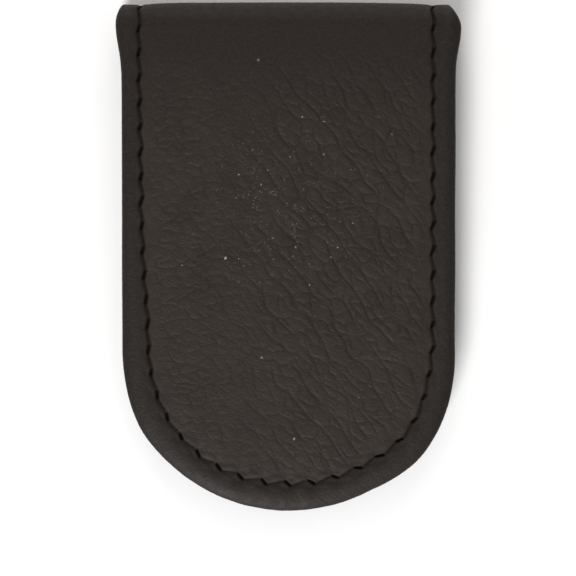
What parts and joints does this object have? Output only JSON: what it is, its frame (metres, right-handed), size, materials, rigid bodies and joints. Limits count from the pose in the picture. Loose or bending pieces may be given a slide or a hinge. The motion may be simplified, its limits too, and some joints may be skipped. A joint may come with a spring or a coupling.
{
  "type": "money clip",
  "caption": "Leather magnetic money clip: a lined, stitched strip folded over at the top, with two rounded flaps that hold folded notes between hidden magnets.",
  "frame": {"origin": "centre of the clip's footprint on the table, under the back flap's outer face", "axes": "+Y to the fold, +Z from the back flap to the front flap, +X to the right seen from the front"},
  "size_m": [0.0488, 0.0729, 0.0078],
  "materials": {
    "outer_leather": "pebbled full-grain leather, dark brown, semi-matt",
    "lining_leather": "smooth lining leather, dark brown, matt",
    "thread": "twisted polyester thread, dark brown",
    "fibreboard": "pressed fibreboard",
    "felt_filler": "thin grey felt",
    "nickel_plate": "nickel-plated disc magnet",
    "reinforcement_tape": "woven reinforcement"
  },
  "bodies": {
    "back_flap": {"back_outer_leather": "outer_leather", "back_stiffener_board": "fibreboard", "back_filler": "felt_filler", "back_magnet_left": "nickel_plate", "back_magnet_right": "nickel_plate", "back_lining": "lining_leather", "back_needle_stitches": "thread", "back_bobbin_stitches": "thread"},
    "spine": {"spine_outer_leather": "outer_leather", "spine_reinforcement": "reinforcement_tape", "spine_lining": "lining_leather", "spine_needle_stitches": "thread", "spine_bobbin_stitches": "thread"},
    "front_flap": {"front_outer_leather": "outer_leather", "front_stiffener_board": "fibreboard", "front_filler": "felt_filler", "front_magnet_left": "nickel_plate", "front_magnet_right": "nickel_plate", "front_lining": "lining_leather", "front_needle_stitches": "thread", "front_bobbin_stitches": "thread"}
  },
  "joints": [
    {"name": "fold_back", "type": "hinge", "parent": "back_flap", "child": "spine", "pos_m": [0, 0.03457, 0.00191], "axis": [-1, 0, 0], "range_deg": [0, 90], "stiffness_Nm_per_rad": 0.03, "deforming": ["spine_outer_leather", "spine_reinforcement", "spine_lining", "spine_needle_stitches", "spine_bobbin_stitches"]},
    {"name": "fold_front", "type": "hinge", "parent": "spine", "child": "front_flap", "pos_m": [0, 0.03451, 0.00595], "axis": [-1, 0, 0], "range_deg": [0, 90], "stiffness_Nm_per_rad": 0.03}
  ],
  "couplings": [
    {"joint": "fold_front", "follows": "fold_back", "ratio": 1}
  ]
}
